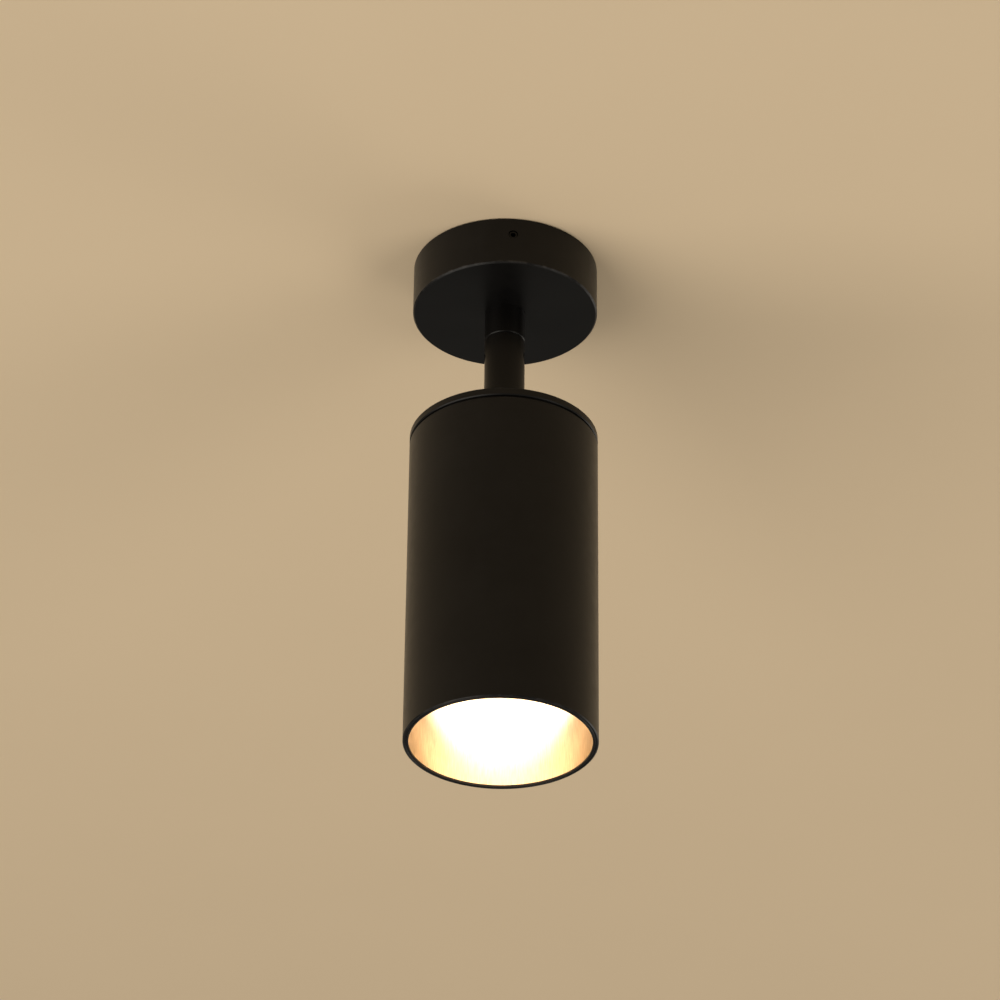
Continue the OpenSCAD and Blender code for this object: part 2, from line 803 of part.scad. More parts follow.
// Toothed washer between the lamp bracket and the nut
module arm_lock_washer() {
    color(steel) translate([0, 0, lock_z]) difference() {
        ring(washer_r, stub_r + hole_gap, lock_t);
        for (turn = [0 : 30 : 330]) rotate([0, 0, turn])
            block_at(washer_r, 0, -past, 2 * lock_tooth_l, lock_tooth_w, lock_t + 2 * past);
    }
}

module arm_nut() {
    color(brass) translate([0, 0, arm_nut_z]) nut(nut_flats, stub_r + thread_gap, arm_nut_h);
}

module body_tube() {
    color(black) rotate_extrude() polygon([
        [head_r - head_chamfer, mouth_z], [head_r, mouth_z + head_chamfer], [head_r, tube_top - head_chamfer],
        [head_r - head_chamfer, tube_top], [tube_in_r, tube_top], [tube_in_r, mouth_z + head_chamfer / 2],
        [tube_in_r + head_chamfer / 2, mouth_z]
    ]);
}

module at_holder_screws() {
    for (side = [-1, 1]) translate([side * holder_pitch / 2, 0, 0]) children();
}

// Strip bent into a C: the nut holds its top to the end cap, and its feet carry the holder
module lamp_bracket() {
    inner_x = bracket_leg_x - sheet_t;
    cut_y = bracket_strip + 2 * past;
    color(steel) difference() {
        block_at(0, 0, holder_top, 2 * bracket_leg_x, bracket_strip, holder_drop);
        block_at(0, 0, holder_top + sheet_t, 2 * inner_x, cut_y, holder_drop - 2 * sheet_t);
        block_at(0, 0, holder_top - past, 2 * foot_in, cut_y, sheet_t + 2 * past);
        hole(0, 0, plate_z - sheet_t, plate_z, stub_r + hole_gap);
        at_holder_screws() hole(0, 0, holder_top, holder_top + sheet_t, holder_screw_r + thread_gap);
    }
}

// Round-ended arc groove for one pin, from the free angle to the locked angle
module pin_groove(w, z, h) {
    for (half = [0, 180]) rotate([0, 0, half]) {
        rotate([0, 0, locked - twist]) translate([0, 0, z]) rotate_extrude(angle = twist)
            translate([pin_r - w / 2, 0]) square([w, h]);
        for (angle = [locked - twist, locked]) rotate([0, 0, angle]) translate([pin_r, 0, z])
            cylinder(d = w, h = h);
    }
}

// Ceramic holder: keyhole plate below, a chamber for the pin heads above it
module lamp_holder() {
    color(ceramic) difference() {
        translate([0, 0, holder_z]) rounded_block(holder_l, holder_w, holder_h, holder_corner);
        at_pins(locked - twist) hole(0, 0, holder_z, holder_z + socket_plate, pin_head_r + pin_play);
        pin_groove(2 * (pin_neck_r + pin_play), holder_z - past, socket_plate + 2 * past);
        pin_groove(2 * (pin_head_r + pin_play), holder_z + socket_plate, socket_h);
        at_pins(locked) translate([0, 0, contact_z]) cylinder(r = contact_r + thread_gap, h = holder_h);
        at_holder_screws() {
            hole(0, 0, holder_z, holder_top, holder_screw_r + hole_gap);
            translate([0, 0, holder_z - past])
                cylinder(r = holder_head_r + hole_gap, h = past + holder_head_h + holder_head_sink);
        }
    }
}

module holder_screws() {
    color(steel) at_holder_screws() translate([0, 0, holder_z + holder_head_sink]) difference() {
        union() {
            cylinder(r = holder_head_r, h = holder_head_h);
            cylinder(r = holder_screw_r, h = holder_h - holder_head_sink + sheet_t);
        }
        for (turn = [0, 90]) rotate([0, 0, turn])
            block_at(0, 0, -past, holder_cross_w, holder_cross_l, past + holder_cross_depth);
    }
}

// Spring leaf over each locked pin, riveted up through the ceramic
module holder_contacts() {
    color(brass) at_pins(locked) {
        block_at(0, 0, contact_z, contact_w, contact_w, contact_t);
        translate([0, 0, contact_z]) cylinder(r = contact_r, h = holder_top - contact_z);
    }
}

// Each lead's stretch in the head, from the seam through the stem to the holder
module head_lead(x, side) {
    end_x = side * pin_r * cos(locked);
    end_y = side * pin_r * sin(locked);
    lead([
        [x, lead_y, seam_z],
        [x, lead_y, bore_top + 1.5],
        [x, lead_y + 0.1, bore_top],
        [x, bore_lead_y - 0.1, channel_end],
        [x, bore_lead_y, channel_end - 2],
        [x, bore_lead_y, stub_end],
        [(x + end_x) / 2, (bore_lead_y + end_y) / 2, holder_top + 1.8],
        [end_x, end_y, holder_top + 0.9],
        [end_x, end_y, holder_top]
    ], lead_d);
}

module live_lead_head() {
    color(brown) head_lead(lead_x, -1);
}

module neutral_lead_head() {
    color(blue) head_lead(-lead_x, 1);
}

// Thin bright sleeve, closed in at the top round the lamp's face
module reflector_sleeve() {
    color(bright) rotate_extrude() polygon([
        [sleeve_in_r, sleeve_bottom], [sleeve_r, sleeve_bottom], [sleeve_r, sleeve_top],
        [sleeve_hole_r, sleeve_top], [sleeve_hole_r, sleeve_top - sleeve_t],
        [sleeve_in_r, sleeve_top - sleeve_t]
    ]);
}

// Push-in ring at the mouth: its lip holds the sleeve
module front_ring() {
    skirt_in_r = sleeve_r + slide_gap;
    bevel = head_chamfer / 2;
    color(black) rotate_extrude() polygon([
        [sleeve_in_r, mouth_z], [ring_r - bevel, mouth_z], [ring_r, mouth_z + bevel],
        [ring_r, mouth_z + ring_h], [skirt_in_r, mouth_z + ring_h],
        [skirt_in_r, sleeve_bottom], [sleeve_in_r, sleeve_bottom]
    ]);
}

// Radius of the lamp's bowl, a share t of the way from the base down to the rim
function bowl_r(t) = base_r + (lamp_r - base_r) * pow(t, 0.62);

// Points down the bowl from share a to share b, set in from its outside
function bowl(a, b, inset, steps) = [for (i = [0 : steps])
    let (t = a + (b - a) * i / steps) [bowl_r(t) - inset, lamp_top - base_h - flare_h * t]];

// Bowl of the lamp with its rim, and a floor across it that carries the board
module lamp_shell() {
    floor_low = board_z + board_t;
    floor_high = floor_low + lamp_wall;
    low = (lamp_top - base_h - floor_low) / flare_h;
    high = (lamp_top - base_h - floor_high) / flare_h;
    lens_in = lens_r + slide_gap;
    seat_z = lamp_face + lens_sink + lens_t;
    color(lamp_white) rotate_extrude() polygon(concat(
        bowl(0, 1, 0, 10),
        [[lamp_r, lamp_face], [lens_in, lamp_face], [lens_in, seat_z]],
        [[lens_r - lens_seat_w, seat_z], [lens_r - lens_seat_w, lamp_face + rim_h]],
        bowl(1, low, lamp_wall, 4),
        [[0, floor_low], [0, floor_high]],
        bowl(high, 0, lamp_wall, 6)
    ));
}

module lamp_base() {
    color(lamp_white) translate([0, 0, lamp_top - base_h]) rotate_extrude() polygon([
        [0, 0], [base_r, 0], [base_r, base_h - base_chamfer],
        [base_r - base_chamfer, base_h], [0, base_h]
    ]);
}

// Two pins with wide heads, locked in the holder's chamber
module lamp_pins() {
    color(steel) at_pins(locked) {
        translate([0, 0, lamp_top]) cylinder(r = pin_neck_r, h = pin_neck_l);
        translate([0, 0, lamp_top + pin_neck_l]) cylinder(r = pin_head_r, h = pin_head_h);
    }
}

module lamp_lens() {
    color([1, 0.93, 0.78]) translate([0, 0, lamp_face + lens_sink]) cylinder(r = lens_r, h = lens_t);
}

module led_board() {
    color([0.92, 0.92, 0.92]) translate([0, 0, board_z]) cylinder(r = board_r, h = board_t);
}

module led_chips() {
    color([0.95, 0.85, 0.35]) for (turn = [0 : 60 : 300]) rotate([0, 0, turn])
        block_at(chip_ring, 0, board_z - chip_t, chip, chip, chip_t);
}

canopy_cover();
mounting_bracket();
canopy_screws();
cable_bush();
terminal_block();
terminal_inserts();
terminal_screws();
terminal_fixing_screw();
earth_screw();
earth_washer();
earth_tag();
earth_lead();
live_lead_canopy();
neutral_lead_canopy();
stop_pin();
swivel_collar();
hollow_nipple();
friction_washer();
stop_washer();
spring_washer();
nipple_nut();
live_lead_swivel();
neutral_lead_swivel();
stem_arm();
pivot_screw();
pivot_washers();
end_cap();
arm_lock_washer();
arm_nut();
body_tube();
lamp_bracket();
lamp_holder();
holder_screws();
holder_contacts();
live_lead_head();
neutral_lead_head();
reflector_sleeve();
front_ring();
lamp_shell();
lamp_base();
lamp_pins();
lamp_lens();
led_board();
led_chips();
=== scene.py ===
"""Ceiling spotlight: looks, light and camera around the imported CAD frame.

Metres, +Z up, with the ceiling at z = 0. A length times MM is written in millimetres, and so are
the routes of the leads.
"""

import math

import bmesh
import bpy
from mathutils import Matrix, Vector


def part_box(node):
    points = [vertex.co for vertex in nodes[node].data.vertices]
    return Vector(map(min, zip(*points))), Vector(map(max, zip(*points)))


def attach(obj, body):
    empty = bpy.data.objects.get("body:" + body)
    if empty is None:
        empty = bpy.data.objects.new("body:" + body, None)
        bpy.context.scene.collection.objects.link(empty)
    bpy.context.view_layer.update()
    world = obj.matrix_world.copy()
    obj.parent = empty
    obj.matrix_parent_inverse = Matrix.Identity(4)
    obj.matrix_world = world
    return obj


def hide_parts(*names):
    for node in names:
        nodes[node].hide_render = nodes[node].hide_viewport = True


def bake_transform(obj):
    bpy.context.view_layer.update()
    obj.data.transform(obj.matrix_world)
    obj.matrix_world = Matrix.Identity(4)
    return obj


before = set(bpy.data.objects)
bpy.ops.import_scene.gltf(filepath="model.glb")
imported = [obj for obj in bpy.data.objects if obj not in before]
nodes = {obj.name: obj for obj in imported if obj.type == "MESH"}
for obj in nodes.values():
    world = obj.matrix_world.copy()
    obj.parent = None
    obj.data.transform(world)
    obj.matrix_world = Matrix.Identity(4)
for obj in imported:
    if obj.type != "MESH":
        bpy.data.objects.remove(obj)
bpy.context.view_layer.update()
scene = bpy.context.scene
scene.view_settings.view_transform = "Standard"
MM = 0.001


# Building node materials

# A mix node has sockets of several kinds under one name. These are its colour sockets.
MIX_FIRST = 6
MIX_SECOND = 7
MIX_RESULT = 2

# The scale of a surface's clouds and of its uneven gloss, as shares of its grain
CLOUD_SHARE = 0.12
GLOSS_SHARE = 0.35


def new_material(name):
    """An empty node material, its node tree and its shader."""
    mat = bpy.data.materials.new(name)
    mat.use_nodes = True
    tree = mat.node_tree
    tree.nodes.clear()
    out = tree.nodes.new("ShaderNodeOutputMaterial")
    shader = tree.nodes.new("ShaderNodeBsdfPrincipled")
    tree.links.new(shader.outputs[0], out.inputs[0])
    return mat, tree, shader


def add(tree, kind, links=(), **values):
    """A node with the inputs or settings in values set, and the inputs in links joined."""
    node = tree.nodes.new(kind)
    for key, value in values.items():
        if key in node.inputs:
            node.inputs[key].default_value = value
        else:
            setattr(node, key, value)
    for socket, source in dict(links).items():
        tree.links.new(source, node.inputs[socket])
    return node


def math_node(tree, operation, a, b=0.0):
    """The result of one sum on two numbers or outputs."""
    node = tree.nodes.new("ShaderNodeMath")
    node.operation = operation
    for i, value in enumerate((a, b)):
        if isinstance(value, (int, float)):
            node.inputs[i].default_value = value
        else:
            tree.links.new(value, node.inputs[i])
    return node.outputs[0]


def length_of(tree, vector):
    """How long a vector is."""
    return add(tree, "ShaderNodeVectorMath", {0: vector}, operation="LENGTH").outputs["Value"]


def from_axis(tree, at):
    """How far a place is from the light's centre line."""
    xyz = add(tree, "ShaderNodeSeparateXYZ", {0: at})
    flat = add(tree, "ShaderNodeCombineXYZ", {0: xyz.outputs[0], 1: xyz.outputs[1]})
    return length_of(tree, flat.outputs[0])


def ramp(tree, source, stops):
    """Grey values or colours at places from 0 to 1 along a source."""
    node = tree.nodes.new("ShaderNodeValToRGB")
    elements = node.color_ramp.elements
    while len(elements) < len(stops):
        elements.new(0.5)
    for item, (position, value) in zip(elements, stops):
        item.position = position
        item.color = (*value, 1) if isinstance(value, tuple) else (value, value, value, 1)
    tree.links.new(source, node.inputs[0])
    return node.outputs[0]


def place(tree):
    """Object coordinates: the same on every part, at rest and in every pose."""
    return tree.nodes.new("ShaderNodeTexCoord").outputs["Object"]


def around(tree, at, turns, along):
    """Coordinates wound round the centre line: turns across it, along down it."""
    xyz = add(tree, "ShaderNodeSeparateXYZ", {0: at})
    angle = math_node(tree, "ARCTAN2", xyz.outputs[1], xyz.outputs[0])
    wide = math_node(tree, "MULTIPLY", angle, turns)
    deep = math_node(tree, "MULTIPLY", xyz.outputs[2], along)
    return add(tree, "ShaderNodeCombineXYZ", {0: wide, 1: deep}).outputs[0]


def noise(tree, coords, scale, detail=3.0, rough=0.55):
    """Smooth noise from 0 to 1."""
    links = {"Vector": coords}
    return add(tree, "ShaderNodeTexNoise", links, Scale=scale, Detail=detail, Roughness=rough).outputs[0]


def bump(tree, shader, height, strength, distance):
    """Relief on top of what the shader's normal already carries."""
    node = add(tree, "ShaderNodeBump", {"Height": height}, Strength=strength, Distance=distance)
    for link in list(shader.inputs["Normal"].links):
        tree.links.new(link.from_socket, node.inputs["Normal"])
    tree.links.new(node.outputs[0], shader.inputs["Normal"])


def tones(color, spread):
    """A darker and a lighter tone of a colour."""
    return tuple(c * (1 - spread) for c in color), tuple(min(1, c * (1 + spread)) for c in color)


def surface(name, color, rough, metallic=0.0, spread=0.12, grain=700.0, depth=0.02,
            rough_spread=0.08, **more):
    """A finish with cloudy colour, uneven gloss and a fine grain that is depth mm high.

    The names in more are further sockets of the shader, with _ for a space.
    """
    mat, tree, shader = new_material(name)
    at = place(tree)
    low, high = tones(color, spread)
    cloud = noise(tree, at, scale=grain * CLOUD_SHARE, detail=4)
    tree.links.new(ramp(tree, cloud, [(0.3, low), (0.7, high)]), shader.inputs["Base Color"])
    uneven = noise(tree, at, scale=grain * GLOSS_SHARE, detail=3)
    gloss = ramp(tree, uneven, [(0.3, rough - rough_spread), (0.7, rough + rough_spread)])
    tree.links.new(gloss, shader.inputs["Roughness"])
    shader.inputs["Metallic"].default_value = metallic
    for key, value in more.items():
        shader.inputs[key.replace("_", " ")].default_value = value
    bump(tree, shader, noise(tree, at, scale=grain, detail=2), strength=0.5, distance=depth * MM)
    return mat, tree, shader


def plain(name, color, rough, **settings):
    """A surface that nothing more is added to."""
    return surface(name, color, rough, **settings)[0]


# Black satin coat

COAT_TONES = (0.0024, 0.0022, 0.0021), (0.0042, 0.0039, 0.0036)
COAT_ROUGHNESS = 0.31, 0.37
COAT_SPECULAR = 0.17
CANOPY_CHAMFER = 0.5 * MM
RUBBED_TONE = (0.032, 0.030, 0.028)
RUBBED_REACH = 0.33 * MM
RUBBED_MOST = 0.55


def rubbed(tree, at, color, rims, radius):
    """The colour, lighter in broken patches along the turned edges at these heights and that radius."""
    height = add(tree, "ShaderNodeSeparateXYZ", {0: at}).outputs[2]
    near = 0.0
    for rim in rims:
        off = math_node(tree, "ABSOLUTE", math_node(tree, "SUBTRACT", height, rim))
        near = math_node(tree, "MAXIMUM", math_node(tree, "LESS_THAN", off, RUBBED_REACH), near)
    outside = math_node(tree, "GREATER_THAN", from_axis(tree, at), radius - RUBBED_REACH)
    broken = ramp(tree, noise(tree, at, scale=420, detail=5), [(0.46, 0.0), (0.62, RUBBED_MOST)])
    share = math_node(tree, "MULTIPLY", math_node(tree, "MULTIPLY", near, outside), broken)
    mixed = add(tree, "ShaderNodeMix", data_type="RGBA")
    tree.links.new(share, mixed.inputs["Factor"])
    tree.links.new(color, mixed.inputs[MIX_FIRST])
    mixed.inputs[MIX_SECOND].default_value = (*RUBBED_TONE, 1)
    return mixed.outputs[MIX_RESULT]


def coat(name, rims=(), radius=0.0):
    """Satin black powder coat with a fine orange peel, rubbed at the edges that rims and radius give."""
    mat, tree, shader = new_material(name)
    at = place(tree)
    cloud = noise(tree, at, scale=60, detail=5)
    color = ramp(tree, cloud, [(0.3, COAT_TONES[0]), (0.7, COAT_TONES[1])])
    if rims:
        color = rubbed(tree, at, color, rims, radius)
    tree.links.new(color, shader.inputs["Base Color"])
    uneven = noise(tree, at, scale=240, detail=4)
    gloss = ramp(tree, uneven, [(0.3, COAT_ROUGHNESS[0]), (0.7, COAT_ROUGHNESS[1])])
    tree.links.new(gloss, shader.inputs["Roughness"])
    shader.inputs["Specular IOR Level"].default_value = COAT_SPECULAR
    bump(tree, shader, noise(tree, at, scale=620, detail=2), strength=0.22, distance=0.03 * MM)
    bump(tree, shader, noise(tree, at, scale=3200, detail=2), strength=0.18, distance=0.008 * MM)
    return mat


# Metals, insulation and the lit parts

def turned_metal(name, color, rough):
    """Metal with the faint rings that turning and rolling leave."""
    mat, tree, shader = surface(name, color, rough, metallic=1.0, spread=0.08, grain=500, depth=0.01,
                                rough_spread=0.07)
    rings = noise(tree, around(tree, place(tree), turns=2.0, along=5200), scale=1.0, detail=3)
    bump(tree, shader, rings, strength=0.25, distance=0.01 * MM)
    return mat


def striped_lead(name, first, second):
    """Insulation in one colour, with slanting bands of a second."""
    mat, tree, shader = surface(name, first, 0.42, spread=0.1, grain=900, depth=0.01)
    wave = add(tree, "ShaderNodeTexWave", {"Vector": place(tree)}, wave_type="BANDS",
               bands_direction="DIAGONAL", Scale=95.0, Distortion=0.6)
    stripes = ramp(tree, wave.outputs[0], [(0.56, first), (0.6, second)])
    tree.links.new(stripes, shader.inputs["Base Color"])
    return mat


SLEEVE_TONES = (0.57, 0.47, 0.34), (0.80, 0.69, 0.525)
SLEEVE_ROUGHNESS = 0.29, 0.34


def brushed_sleeve(name):
    """Satin anodised sheet with short streaks along the light's axis."""
    mat, tree, shader = new_material(name)
    at = place(tree)
    streaks = noise(tree, around(tree, at, turns=70, along=180), scale=1.0, detail=4, rough=0.65)
    waves = noise(tree, around(tree, at, turns=26, along=45), scale=1.0, detail=3, rough=0.6)
    grain = noise(tree, around(tree, at, turns=150, along=1500), scale=1.0, detail=2, rough=0.6)
    color = ramp(tree, streaks, [(0.3, SLEEVE_TONES[0]), (0.7, SLEEVE_TONES[1])])
    tree.links.new(color, shader.inputs["Base Color"])
    gloss = ramp(tree, waves, [(0.3, SLEEVE_ROUGHNESS[0]), (0.7, SLEEVE_ROUGHNESS[1])])
    tree.links.new(gloss, shader.inputs["Roughness"])
    shader.inputs["Metallic"].default_value = 1.0
    bump(tree, shader, streaks, strength=0.4, distance=0.03 * MM)
    bump(tree, shader, grain, strength=0.3, distance=0.02 * MM)
    bump(tree, shader, waves, strength=0.3, distance=0.04 * MM)
    return mat


LENS_GLOW = 8.5
LENS_TONES = (1.0, 0.80, 0.60), (1.0, 0.76, 0.55)
LENS_SEAT = 1.0 * MM
SEAT_GLOW = 0.02


def glowing_lens(name):
    """Frosted lamp lens with fine facets, lit warm, and dim where its edge lies on the seat."""
    mat, tree, shader = surface(name, (0.92, 0.88, 0.80), 0.38, spread=0.03, grain=900, depth=0.02)
    at = place(tree)
    facets = add(tree, "ShaderNodeTexVoronoi", {"Vector": at}, Scale=420.0).outputs[0]
    bump(tree, shader, facets, strength=0.5, distance=0.25 * MM)
    warm = ramp(tree, facets, [(0.0, LENS_TONES[0]), (0.8, LENS_TONES[1])])
    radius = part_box("lamp_lens")[1].x
    inward = math_node(tree, "SUBTRACT", radius, from_axis(tree, at))
    # The seat's inner edge is halfway along this ramp
    lit = ramp(tree, math_node(tree, "DIVIDE", inward, 2 * LENS_SEAT), [(0.4, SEAT_GLOW), (0.6, 1.0)])
    glow = add(tree, "ShaderNodeVectorMath", {0: warm, 1: lit}, operation="MULTIPLY")
    tree.links.new(glow.outputs[0], shader.inputs["Emission Color"])
    shader.inputs["Emission Strength"].default_value = LENS_GLOW
    return mat


# One finish for each node

def coated(node, *edges):
    """The coat of a round node, rubbed at its bottom, at its top or where the canopy's chamfer ends."""
    low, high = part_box(node)
    heights = {"bottom": low.z, "top": high.z, "chamfer": low.z + CANOPY_CHAMFER}
    return coat("black_coat_" + node, [heights[edge] for edge in edges], high.x)


black = coat("black_coat")
steel = turned_metal("zinc_steel", (0.60, 0.61, 0.62), 0.34)
brass = turned_metal("brass", (0.78, 0.58, 0.27), 0.30)
fibre = plain("fibre", (0.46, 0.40, 0.27), 0.8, spread=0.22, grain=1600, depth=0.06)
lamp_white = plain("lamp_white", (0.78, 0.77, 0.73), 0.36, spread=0.04, grain=420, depth=0.03)
live = plain("live_insulation", (0.13, 0.05, 0.02), 0.42, spread=0.15, grain=900, depth=0.01)
neutral = plain("neutral_insulation", (0.03, 0.10, 0.36), 0.42, spread=0.15, grain=900, depth=0.01)

finishes = {
    "canopy_cover": coated("canopy_cover", "bottom", "chamfer"),
    "body_tube": coated("body_tube", "bottom", "top"),
    "end_cap": coated("end_cap", "top"),
    "cable_bush": plain("bush_plastic", (0.02, 0.02, 0.021), 0.55, spread=0.2, grain=800, depth=0.03),
    "terminal_block": plain("block_plastic", (0.74, 0.73, 0.66), 0.42, spread=0.05, grain=500, depth=0.03,
                            Subsurface_Weight=0.15, Subsurface_Scale=2 * MM),
    "lamp_holder": plain("ceramic", (0.80, 0.77, 0.69), 0.30, spread=0.05, grain=350, depth=0.03,
                         Coat_Weight=0.35),
    "earth_lead": striped_lead("earth_insulation", (0.10, 0.34, 0.06), (0.72, 0.60, 0.04)),
    "reflector_sleeve": brushed_sleeve("reflector"),
    "lamp_lens": glowing_lens("lens"),
    "led_board": plain("board", (0.80, 0.80, 0.78), 0.4, spread=0.04, grain=600, depth=0.01),
    "led_chips": plain("emitter", (0.80, 0.66, 0.18), 0.45, spread=0.06, grain=1500, depth=0.02,
                       Emission_Color=(1.0, 0.62, 0.28, 1), Emission_Strength=3.0),
}
shared = {
    black: "front_ring stem_arm swivel_collar canopy_screws",
    steel: "mounting_bracket terminal_screws terminal_fixing_screw earth_tag stop_pin hollow_nipple"
           " stop_washer spring_washer pivot_screw arm_lock_washer lamp_bracket holder_screws lamp_pins",
    brass: "terminal_inserts earth_screw earth_washer nipple_nut arm_nut holder_contacts",
    fibre: "friction_washer pivot_washers",
    lamp_white: "lamp_shell lamp_base",
    live: "live_lead_canopy live_lead_swivel live_lead_head",
    neutral: "neutral_lead_canopy neutral_lead_swivel neutral_lead_head",
}
for finish, names in shared.items():
    for name in names.split():
        finishes[name] = finish

for name, obj in nodes.items():
    for slot in obj.material_slots:
        slot.link = "OBJECT"
        slot.material = finishes[name]


# Leads

def curve(route, step=0.35):
    """Points at about that spacing in mm on the smooth curve through a route."""
    p = [Vector(point) for point in route]
    last = len(p) - 1
    path = []
    for i in range(last):
        before = p[max(i - 1, 0)]
        here = p[i]
        there = p[i + 1]
        after = p[min(i + 2, last)]
        count = max(2, round((there - here).length / step))
        for k in range(count):
            t = k / count
            square = (2 * before - 5 * here + 4 * there - after) * t ** 2
            cube = (3 * here - before - 3 * there + after) * t ** 3
            path.append(0.5 * (2 * here + (there - before) * t + square + cube))
    return path + [p[-1]]


def tube(name, path, radius, sides=18):
    """A closed round tube along a path, both in mm, with square ends."""
    bm = bmesh.new()
    last = len(path) - 1
    way = [(path[min(i + 1, last)] - path[max(i - 1, 0)]).normalized() for i in range(last + 1)]
    angles = [2 * math.pi * k / sides for k in range(sides)]
    across = way[0].orthogonal().normalized()
    rings = []
    for point, along in zip(path, way):
        across = (across - across.dot(along) * along).normalized()
        other = along.cross(across)
        spokes = [math.cos(a) * across + math.sin(a) * other for a in angles]
        rings.append([bm.verts.new((point + radius * spoke) * MM) for spoke in spokes])
    for low, high in zip(rings, rings[1:]):
        for k in range(sides):
            after = (k + 1) % sides
            bm.faces.new((low[k], low[after], high[after], high[k])).smooth = True
    bm.faces.new(reversed(rings[0]))
    bm.faces.new(rings[-1])
    mesh = bpy.data.meshes.new(name)
    bm.to_mesh(mesh)
    bm.free()
    obj = bpy.data.objects.new(name, mesh)
    scene.collection.objects.link(obj)
    return obj


# All in millimetres, in the frame's axes
LEAD_RADIUS = 0.75
LEAD_X = 0.9
LEAD_Y = -1.6
# The height where a feed ends and a drop begins
LEAD_SPLIT = -19.7
# Pairs of heights along a feed, under the swivel, and along a drop, about the knuckle
FEED_TWIST = -8.6, -19.5
DROP_BEND = -27.7, -41.1
# The neutral contact's place. The live one is straight across from it.
CONTACT = Vector((-1.913, 4.619))
# How far over its contact a drop comes straight down
DROP_END = 0.9
FEED_ROUTES = {
    "live": [(15.985, -1, -5.25), (15.985, -9, -5.25), (14.485, -11.5, -5.55), (10.985, -12, -5.85),
             (3.9, -6.6, -6.2), (1.5, -3, -6.2), (LEAD_X, LEAD_Y, -7.0), (LEAD_X, LEAD_Y, -8.4)],
    "neutral": [(23.485, -1, -5.25), (23.485, -8.5, -5.25), (21.485, -12, -6.05), (16.485, -14.8, -6.85),
                (4.9, -12, -7.2), (-0.5, -8.5, -6.8), (-LEAD_X, -4.5, -6.2), (-LEAD_X, LEAD_Y, -6.8),
                (-LEAD_X, LEAD_Y, -8.4)],
}
EARTH_RADIUS = 0.9
EARTH_ROUTE = [(-3.3, -9.75, -3.0), (-7.0, -9.75, -4.0), (-11.5, -9.75, -7.0), (-15.5, -7.75, -8.55),
               (-20.7, -5.25, -11.25), (-21.4, -2.75, -13.25), (-20.6, 0.4, -14.25), (-19.2, 0, -14.25),
               (-18.2, 0, -14.25), (-15.7, 0, -14.25)]


def drop_route(x, end):
    """From the split in the nipple, past the knuckle's tongue and down the stem to a contact."""
    holder_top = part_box("lamp_holder")[1].z / MM
    down = [(LEAD_Y, LEAD_SPLIT), (-4.0, -24.5), (-4.1, -25.7), (-4.1, -27.6), (-4.1, -38.1),
            (-4.0, -39.6), (-1.7, -45.6), (LEAD_Y, -47.6), (LEAD_Y, -74.4)]
    halfway = ((x + end.x) / 2, (LEAD_Y + end.y) / 2, holder_top + 2 * DROP_END)
    return [(x, y, z) for y, z in down] + [halfway, (*end, holder_top + DROP_END), (*end, holder_top)]


def lead(core, x, contact, finish):
    """One conductor in two lengths, a feed down to the split and a drop on from there to its contact, in
    place of the lead nodes.
    """
    split = (x, LEAD_Y, LEAD_SPLIT)
    feed = tube(core + "_feed", curve(FEED_ROUTES[core] + [split]), LEAD_RADIUS)
    drop = tube(core + "_drop", curve(drop_route(x, contact)), LEAD_RADIUS)
    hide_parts(core + "_lead_canopy")
    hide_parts(core + "_lead_swivel", core + "_lead_head")
    bends = (feed, "canopy", "swivel", FEED_TWIST), (drop, "swivel", "head", DROP_BEND)
    for piece, above, below, (start, end) in bends:
        piece.data.materials.append(finish)
        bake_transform(piece)


def earth_lead(finish):
    """The earth conductor, from the bracket's screw to the barrel of the tag."""
    piece = tube("earth_feed", curve(EARTH_ROUTE), EARTH_RADIUS)
    piece.data.materials.append(finish)
    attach(piece, "canopy")
    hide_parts("earth_lead")


lead("live", LEAD_X, -CONTACT, live)
lead("neutral", -LEAD_X, CONTACT, neutral)
earth_lead(finishes["earth_lead"])


# Ceiling and backdrop

CEILING_REACH = 4.0
CEILING_GAP = 0.4 * MM
FADE_START = 0.6
FADE_END = 1.7
PALE = (0.78, 0.73, 0.64, 1)
SOFT = (1.0, 0.95, 0.88, 1)
SOFT_STRENGTH = 0.30
MIRRORED_STRENGTH = 0.35


def ceiling():
    """Pale plaster that the light hangs from. It fades far out, and is clear from above."""
    far = CEILING_REACH
    mesh = bpy.data.meshes.new("stage_ceiling")
    mesh.from_pydata([(-far, -far, 0), (-far, far, 0), (far, far, 0), (far, -far, 0)], [], [(0, 1, 2, 3)])
    obj = bpy.data.objects.new("stage_ceiling", mesh)
    obj.location.z = CEILING_GAP
    scene.collection.objects.link(obj)
    mat, tree, shader = surface("plaster", (0.66, 0.53, 0.36), 0.9, spread=0.012, grain=40, depth=0.05,
                                rough_spread=0.02, Specular_IOR_Level=0.1)
    back = tree.nodes.new("ShaderNodeNewGeometry").outputs["Backfacing"]
    shadow = tree.nodes.new("ShaderNodeLightPath").outputs["Is Shadow Ray"]
    off_centre = length_of(tree, place(tree))
    fade = add(tree, "ShaderNodeMapRange", {0: off_centre}, interpolation_type="SMOOTHSTEP")
    fade.inputs["From Min"].default_value = FADE_START
    fade.inputs["From Max"].default_value = FADE_END
    unseen = math_node(tree, "MAXIMUM", math_node(tree, "MAXIMUM", back, shadow), fade.outputs[0])
    clear = tree.nodes.new("ShaderNodeBsdfTransparent")
    mix = add(tree, "ShaderNodeMixShader", {0: unseen, 1: shader.outputs[0], 2: clear.outputs[0]})
    out = next(node for node in tree.nodes if node.type == "OUTPUT_MATERIAL")
    tree.links.new(mix.outputs[0], out.inputs[0])
    mesh.materials.append(mat)


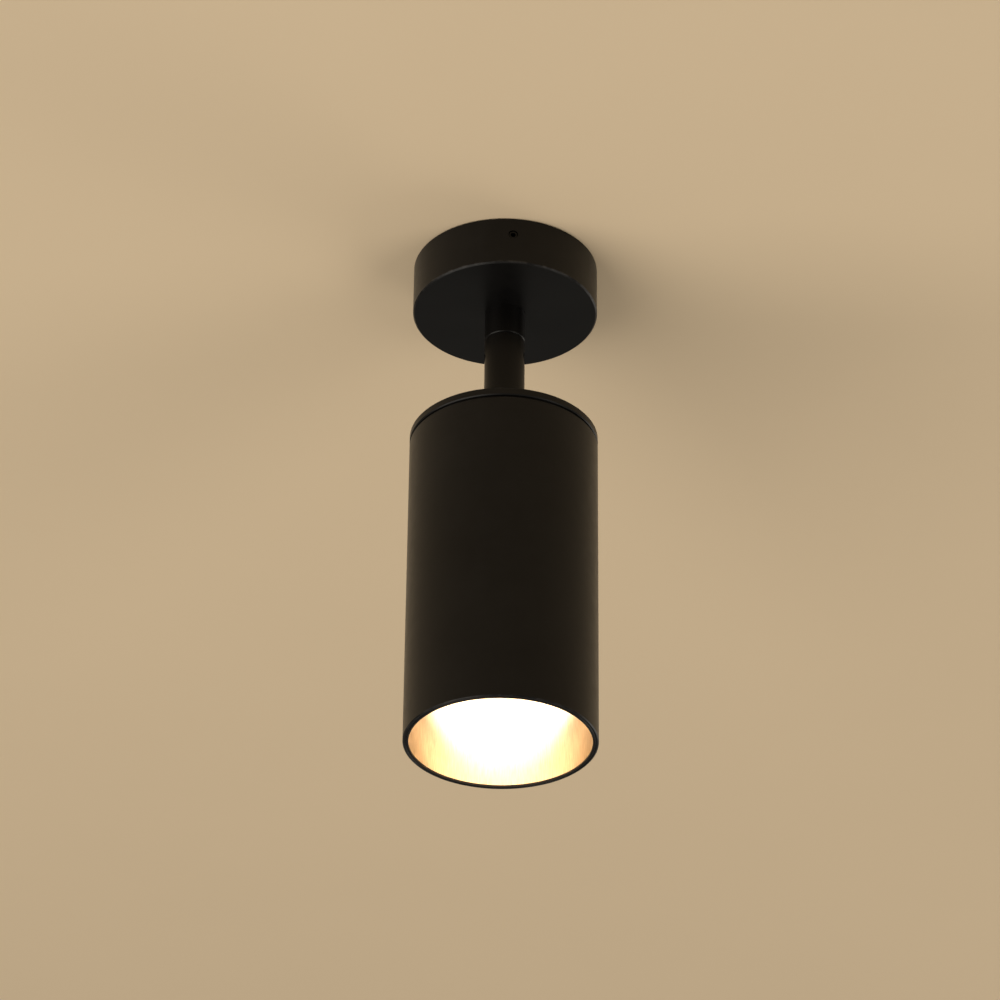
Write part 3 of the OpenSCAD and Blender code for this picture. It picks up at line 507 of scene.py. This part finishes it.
def backdrop():
    """Soft even light, with a pale backdrop for the camera and for reflections."""
    world = bpy.data.worlds.new("studio")
    scene.world = world
    world.use_nodes = True
    tree = world.node_tree
    tree.nodes.clear()
    path = tree.nodes.new("ShaderNodeLightPath").outputs
    seen = math_node(tree, "MAXIMUM", path["Is Camera Ray"], path["Is Transmission Ray"])
    soft = add(tree, "ShaderNodeBackground", Color=SOFT, Strength=SOFT_STRENGTH).outputs[0]
    mirrored = add(tree, "ShaderNodeBackground", Color=PALE, Strength=MIRRORED_STRENGTH).outputs[0]
    pale = add(tree, "ShaderNodeBackground", Color=PALE, Strength=1.0).outputs[0]
    lit = add(tree, "ShaderNodeMixShader", {0: path["Is Glossy Ray"], 1: soft, 2: mirrored}).outputs[0]
    shown = add(tree, "ShaderNodeMixShader", {0: seen, 1: lit, 2: pale}).outputs[0]
    out = tree.nodes.new("ShaderNodeOutputWorld")
    tree.links.new(shown, out.inputs[0])


ceiling()
backdrop()


# Lamps

WARM = (1.0, 0.93, 0.84)


def area_light(name, at, aim_z, size, power):
    """A round soft light that faces the centre line at a height."""
    data = bpy.data.lights.new(name, "AREA")
    data.shape = "DISK"
    data.size = size
    data.energy = power
    data.color = WARM
    obj = bpy.data.objects.new(name, data)
    obj.location = at
    obj.rotation_mode = "QUATERNION"
    obj.rotation_quaternion = (Vector((0, 0, aim_z)) - Vector(at)).to_track_quat("-Z", "Y")
    scene.collection.objects.link(obj)


area_light("key", at=(-1.5, -0.8, -1.35), aim_z=-0.05, size=2.2, power=34)
area_light("fill", at=(1.5, -1.1, -1.1), aim_z=-0.09, size=1.3, power=12)
area_light("back", at=(1.6, 1.1, -0.8), aim_z=-0.09, size=1.2, power=9)
area_light("top", at=(-0.4, 0.3, 1.3), aim_z=0.0, size=1.7, power=14)


# Camera

YAW = math.radians(4.5)
PITCH = math.radians(31.926)
ROLL = math.radians(0.614)
LENS_LENGTH = 151.22
SENSOR_WIDTH = 36.0
DISTANCE = 1328.17 * MM
AIM_ASIDE = -0.994 * MM
AIM_HEIGHT = -87.825 * MM
CLIP_START = 0.05
CLIP_END = 50


def camera():
    """The photograph's view: from in front and below, nearly central, through a long lens."""
    level = math.cos(PITCH)
    forward = Vector((math.sin(YAW) * level, math.cos(YAW) * level, math.sin(PITCH)))
    right = forward.cross(Vector((0, 0, 1))).normalized()
    up = right.cross(forward)
    target = right * AIM_ASIDE + Vector((0, 0, AIM_HEIGHT))
    rolled_right = math.cos(ROLL) * right + math.sin(ROLL) * up
    rolled_up = math.cos(ROLL) * up - math.sin(ROLL) * right
    data = bpy.data.cameras.new("camera")
    data.lens = LENS_LENGTH
    data.sensor_width = SENSOR_WIDTH
    data.clip_start = CLIP_START
    data.clip_end = CLIP_END
    obj = bpy.data.objects.new("camera", data)
    turn = Matrix((rolled_right, rolled_up, -forward)).transposed().to_4x4()
    turn.translation = target - forward * DISTANCE
    obj.matrix_world = turn
    scene.collection.objects.link(obj)
    scene.camera = obj


camera()
